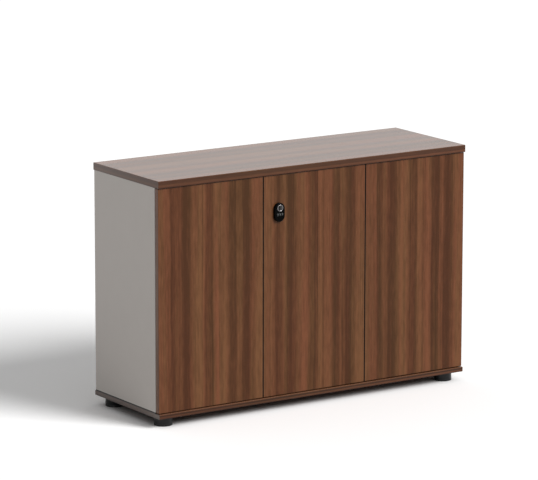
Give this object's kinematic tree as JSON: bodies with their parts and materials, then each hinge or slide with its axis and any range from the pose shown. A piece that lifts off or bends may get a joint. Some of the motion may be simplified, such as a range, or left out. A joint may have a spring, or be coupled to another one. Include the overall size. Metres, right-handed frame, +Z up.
{
  "type": "office credenza",
  "caption": "Low office storage cabinet on levelling feet: melamine boards, overlay doors on concealed hinges, inner shelves and a combination lock.",
  "frame": {"origin": "middle of the footprint, on the floor", "axes": "+X along the width to the right seen from the front, +Y from the doors to the back, +Z up"},
  "size_m": [1.2, 0.408, 0.806],
  "materials": {
    "walnut_board": "satin melamine, walnut grain",
    "walnut_band": "satin edge band",
    "grey_board": "satin melamine, plain warm grey",
    "grey_band": "satin edge band",
    "beech": "raw beech",
    "zinc_steel": "zinc plated",
    "nickel_steel": "nickel plated",
    "chrome_ring": "polished",
    "gloss_black": "gloss black",
    "dial_black": "satin black, pale numbers",
    "black_plastic": "satin black",
    "grey_plastic": "satin grey"
  },
  "bodies": {
    "carcase": {"top_panel": "walnut_board", "top_edge_bands": "walnut_band", "base_panel": "walnut_board", "base_edge_bands": "walnut_band", "left_side_panel": "grey_board", "partition": "grey_board", "right_side_panel": "grey_board", "upright_edge_bands": "grey_band", "left_back_panel": "grey_board", "right_back_panel": "grey_board", "left_shelf": "grey_board", "right_shelf": "grey_board", "shelf_edge_bands": "grey_band", "shelf_pins": "zinc_steel", "cam_locks": "zinc_steel", "cam_bolts": "zinc_steel", "dowels": "beech", "foot_inserts": "zinc_steel", "bolt_keeper": "zinc_steel", "latch_case": "grey_plastic", "latch_spring": "zinc_steel", "hinge_plates": "nickel_steel", "hinge_arms": "nickel_steel", "hinge_pins": "nickel_steel", "carcase_screws": "zinc_steel"},
    "left_door": {"left_door_panel": "walnut_board", "left_door_edge_bands": "walnut_band", "left_hinge_cups": "nickel_steel", "left_door_screws": "zinc_steel", "lock_strike": "grey_plastic", "bolt_case": "grey_plastic"},
    "middle_door": {"middle_door_panel": "walnut_board", "middle_door_edge_bands": "walnut_band", "middle_hinge_cups": "nickel_steel", "middle_door_screws": "zinc_steel", "lock_housing": "gloss_black", "lock_nut": "zinc_steel", "wheel_axle": "zinc_steel"},
    "right_door": {"right_door_panel": "walnut_board", "right_door_edge_bands": "walnut_band", "right_hinge_cups": "nickel_steel", "right_door_screws": "zinc_steel", "right_door_strike": "zinc_steel"},
    "left_links": {"left_hinge_links": "nickel_steel"},
    "middle_links": {"middle_hinge_links": "nickel_steel"},
    "right_links": {"right_hinge_links": "nickel_steel"},
    "knob": {"knob_ring": "chrome_ring", "lock_knob": "gloss_black", "lock_spindle": "zinc_steel", "lock_cam": "zinc_steel"},
    "wheel_1": {"number_wheel_1": "dial_black"},
    "wheel_2": {"number_wheel_2": "dial_black"},
    "wheel_3": {"number_wheel_3": "dial_black"},
    "bolt": {"left_bolt": "zinc_steel"},
    "plunger": {"latch_plunger": "grey_plastic"},
    "front_left_foot": {"front_left_foot": "black_plastic"},
    "front_right_foot": {"front_right_foot": "black_plastic"},
    "back_left_foot": {"back_left_foot": "black_plastic"},
    "back_right_foot": {"back_right_foot": "black_plastic"}
  },
  "joints": [
    {"name": "left_door_swing", "type": "hinge", "parent": "carcase", "child": "left_door", "pos_m": [-0.5925, -0.185, 0.415], "axis": [0, 0, -1], "range_deg": [0, 95]},
    {"name": "left_links_turn", "type": "hinge", "parent": "carcase", "child": "left_links", "pos_m": [-0.5683, -0.1742, 0.415], "axis": [0, 0, 1], "range_deg": [0, 38.5]},
    {"name": "middle_door_swing", "type": "hinge", "parent": "carcase", "child": "middle_door", "pos_m": [0.1925, -0.185, 0.415], "axis": [0, 0, 1], "range_deg": [0, 95]},
    {"name": "middle_links_turn", "type": "hinge", "parent": "carcase", "child": "middle_links", "pos_m": [0.1683, -0.1742, 0.415], "axis": [0, 0, -1], "range_deg": [0, 38.5]},
    {"name": "right_door_swing", "type": "hinge", "parent": "carcase", "child": "right_door", "pos_m": [0.5925, -0.185, 0.415], "axis": [0, 0, 1], "range_deg": [0, 95]},
    {"name": "right_links_turn", "type": "hinge", "parent": "carcase", "child": "right_links", "pos_m": [0.5683, -0.1742, 0.415], "axis": [0, 0, -1], "range_deg": [0, 38.5]},
    {"name": "lock_knob_turn", "type": "hinge", "parent": "middle_door", "child": "knob", "pos_m": [-0.142, -0.19, 0.673], "axis": [0, 1, 0], "range_deg": [0, 90]},
    {"name": "number_wheel_1_turn", "type": "hinge", "parent": "middle_door", "child": "wheel_1", "pos_m": [-0.142, -0.1962, 0.651], "axis": [1, 0, 0], "continuous": true},
    {"name": "number_wheel_2_turn", "type": "hinge", "parent": "middle_door", "child": "wheel_2", "pos_m": [-0.142, -0.1962, 0.651], "axis": [1, 0, 0], "continuous": true},
    {"name": "number_wheel_3_turn", "type": "hinge", "parent": "middle_door", "child": "wheel_3", "pos_m": [-0.142, -0.1962, 0.651], "axis": [1, 0, 0], "continuous": true},
    {"name": "left_bolt_slide", "type": "slide", "parent": "left_door", "child": "bolt", "axis": [0, 0, 1], "range_m": [0, 0.012]},
    {"name": "latch_plunger_press", "type": "slide", "parent": "carcase", "child": "plunger", "axis": [0, 1, 0], "range_m": [0, 0.003], "stiffness_N_per_m": 400, "springref_m": -0.006, "deforming": ["latch_spring"]},
    {"name": "front_left_foot_level", "type": "slide", "parent": "carcase", "child": "front_left_foot", "axis": [0, 0, -1], "range_m": [0, 0.012]},
    {"name": "front_right_foot_level", "type": "slide", "parent": "carcase", "child": "front_right_foot", "axis": [0, 0, -1], "range_m": [0, 0.012]},
    {"name": "back_left_foot_level", "type": "slide", "parent": "carcase", "child": "back_left_foot", "axis": [0, 0, -1], "range_m": [0, 0.012]},
    {"name": "back_right_foot_level", "type": "slide", "parent": "carcase", "child": "back_right_foot", "axis": [0, 0, -1], "range_m": [0, 0.012]}
  ],
  "couplings": [
    {"joint": "left_links_turn", "follows": "left_door_swing", "ratio": 0.4},
    {"joint": "middle_links_turn", "follows": "middle_door_swing", "ratio": 0.4},
    {"joint": "right_links_turn", "follows": "right_door_swing", "ratio": 0.4}
  ]
}
